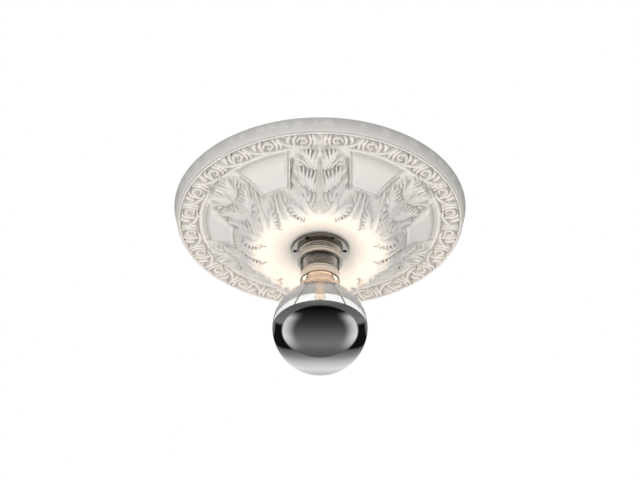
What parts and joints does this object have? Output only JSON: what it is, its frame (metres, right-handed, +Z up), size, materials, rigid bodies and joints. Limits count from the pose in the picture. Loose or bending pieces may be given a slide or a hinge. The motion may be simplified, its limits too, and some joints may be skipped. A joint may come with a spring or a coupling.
{
  "type": "plaster ceiling rose",
  "caption": "Round plaster ceiling rose with cast leaves, plaques and running scrolls, carrying a flanged metal lampholder and a half-mirrored globe bulb",
  "frame": {"origin": "the centre of the flat back of the rose, on the ceiling", "axes": "+Z points up into the ceiling and the bulb hangs along -Z; -Y points to the side nearest the viewer, on the axis of one big leaf; +X is to the viewer's right"},
  "size_m": [0.3, 0.3, 0.196],
  "materials": {
    "plaster": "matte",
    "polished_metal": "polished",
    "dark_screw": "satin",
    "porcelain": "gloss",
    "cap_metal": "satin",
    "bulb_glass": "polished"
  },
  "bodies": {
    "root": {"plaster_rose": "plaster", "holder_flange": "polished_metal", "flange_screw_1": "dark_screw", "flange_screw_2": "dark_screw", "flange_screw_3": "dark_screw", "flange_screw_4": "dark_screw", "flange_screw_5": "dark_screw", "flange_screw_6": "dark_screw", "holder_sleeve": "polished_metal", "shade_ring": "polished_metal", "holder_core": "porcelain", "bulb_cap": "cap_metal", "bulb_glass": "bulb_glass"}
  },
  "joints": []
}
